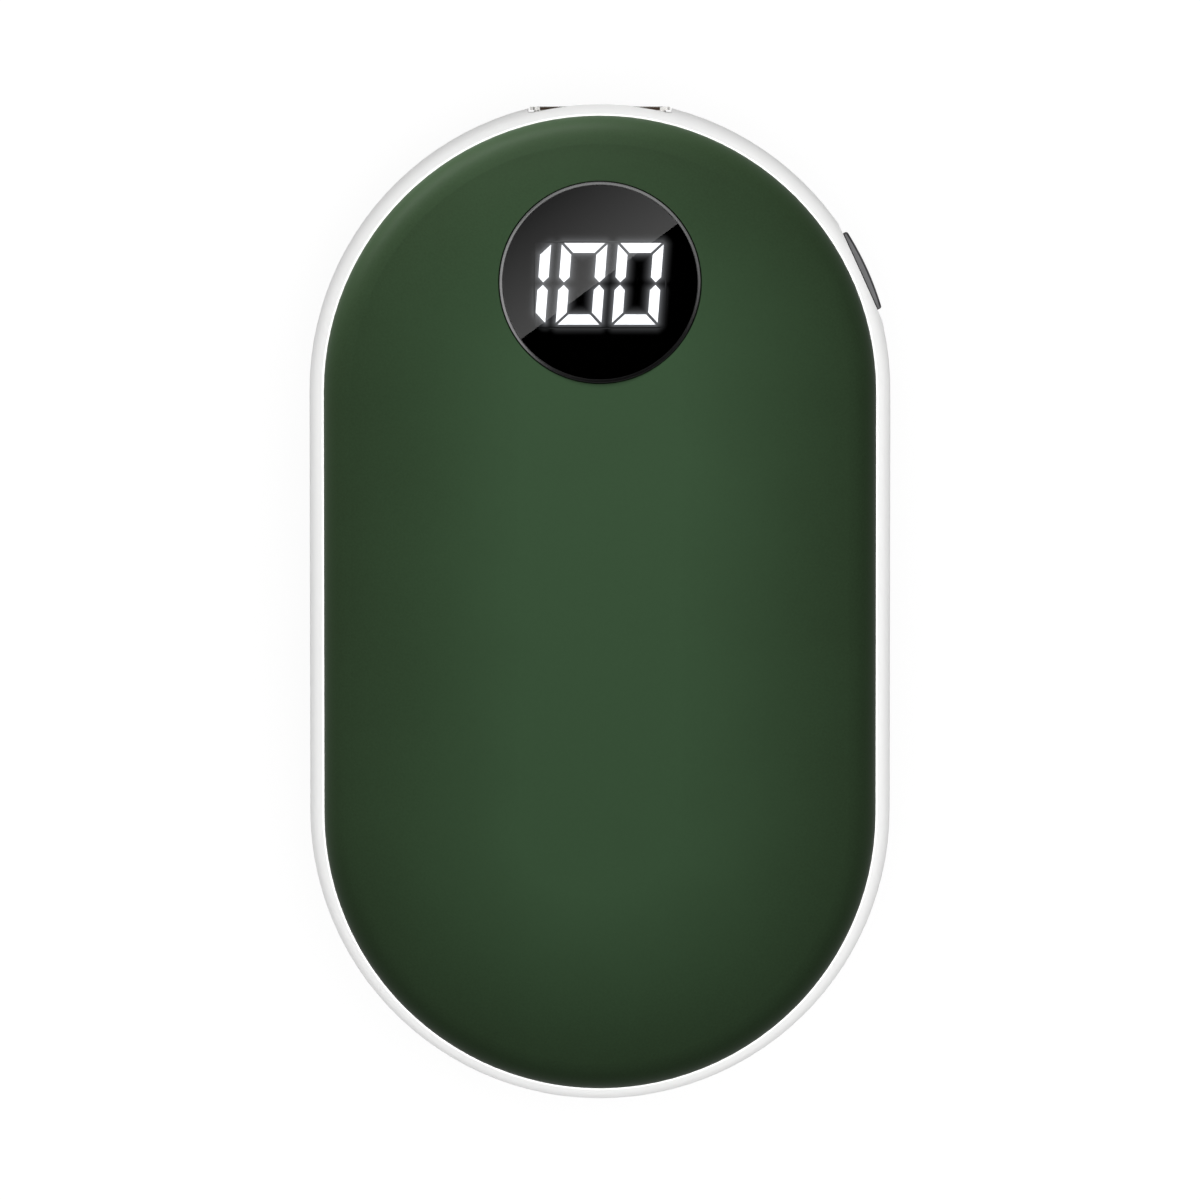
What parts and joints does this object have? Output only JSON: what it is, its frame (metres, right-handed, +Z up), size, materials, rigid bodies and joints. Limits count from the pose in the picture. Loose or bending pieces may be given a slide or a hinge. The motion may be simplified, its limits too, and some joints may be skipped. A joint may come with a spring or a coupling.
{
  "type": "rechargeable hand warmer",
  "caption": "Pill-shaped pocket hand warmer with crowned covers on a rounded band, a round charge display, a side button, a USB outlet, heater films and a battery inside.",
  "frame": {"origin": "middle of the flat of the back cover that the warmer rests on", "axes": "+Z up out of the display side, +Y along the body towards the display and the USB-A socket, +X across the body"},
  "size_m": [0.058, 0.0994, 0.0253],
  "materials": {
    "cover_green": "satin, softly textured",
    "band_white": "satin",
    "lens_black": "polished, smoked",
    "foam_black": "matt foam",
    "display_black": "matt",
    "segment_white": "lit, diffusing",
    "segment_dark": "diffusing, unlit",
    "contact_gold": "plated",
    "button_grey": "satin",
    "switch_black": "moulded",
    "plunger_white": "moulded",
    "shell_nickel": "bright nickel, drawn",
    "insulator_black": "moulded",
    "board_green": "solder mask",
    "chip_black": "moulded",
    "ferrite_grey": "matt",
    "capacitor_tan": "fired",
    "pouch_silver": "foil laminate",
    "tab_nickel": "rolled",
    "tape_white": "acrylic tape",
    "tray_black": "moulded",
    "film_amber": "polyimide",
    "trace_copper": "etched foil",
    "pad_felt": "pressed felt",
    "thermistor_black": "dipped",
    "lead_yellow": "sleeved",
    "lead_red": "sleeved",
    "lead_black": "sleeved",
    "lead_white": "sleeved",
    "screw_steel": "zinc plated"
  },
  "bodies": {
    "case": {"front_cover": "cover_green", "back_cover": "cover_green", "middle_frame": "band_white", "display_lens": "lens_black", "lens_adhesive": "foam_black", "display_gasket": "foam_black", "display_housing": "display_black", "display_segments_lit": "segment_white", "display_segments_unlit": "segment_dark", "display_pins": "contact_gold", "switch_housing": "switch_black", "usb_a_shell": "shell_nickel", "usb_a_insulator": "insulator_black", "usb_a_contacts": "contact_gold", "usb_c_shell": "shell_nickel", "usb_c_insulator": "insulator_black", "usb_c_contacts": "contact_gold", "main_board": "board_green", "charge_board": "board_green", "controller_chip": "chip_black", "charger_chip": "chip_black", "boost_inductor": "ferrite_grey", "chip_capacitors": "capacitor_tan", "battery_cell": "pouch_silver", "battery_protection_board": "board_green", "battery_tabs": "tab_nickel", "battery_tape": "tape_white", "battery_tray": "tray_black", "front_heater_film": "film_amber", "front_heater_trace": "trace_copper", "back_heater_film": "film_amber", "back_heater_trace": "trace_copper", "front_insulation_pad": "pad_felt", "back_insulation_pad": "pad_felt", "front_thermistor": "thermistor_black", "back_thermistor": "thermistor_black", "front_thermistor_lead": "lead_yellow", "back_thermistor_lead": "lead_yellow", "battery_lead_positive": "lead_red", "battery_lead_negative": "lead_black", "charge_lead_positive": "lead_red", "charge_lead_negative": "lead_black", "front_heater_leads": "lead_white", "back_heater_leads": "lead_white", "case_screws": "screw_steel"},
    "button": {"power_button": "button_grey"},
    "plunger": {"switch_plunger": "plunger_white"}
  },
  "joints": [
    {"name": "power_button_press", "type": "slide", "parent": "case", "child": "button", "axis": [-0.91, -0.4147, 0], "range_m": [0, 0.0003], "stiffness_N_per_m": 2000},
    {"name": "switch_plunger_travel", "type": "slide", "parent": "case", "child": "plunger", "axis": [-0.91, -0.4147, 0], "range_m": [0, 0.0003]}
  ],
  "couplings": [
    {"joint": "switch_plunger_travel", "follows": "power_button_press", "ratio": 1}
  ]
}
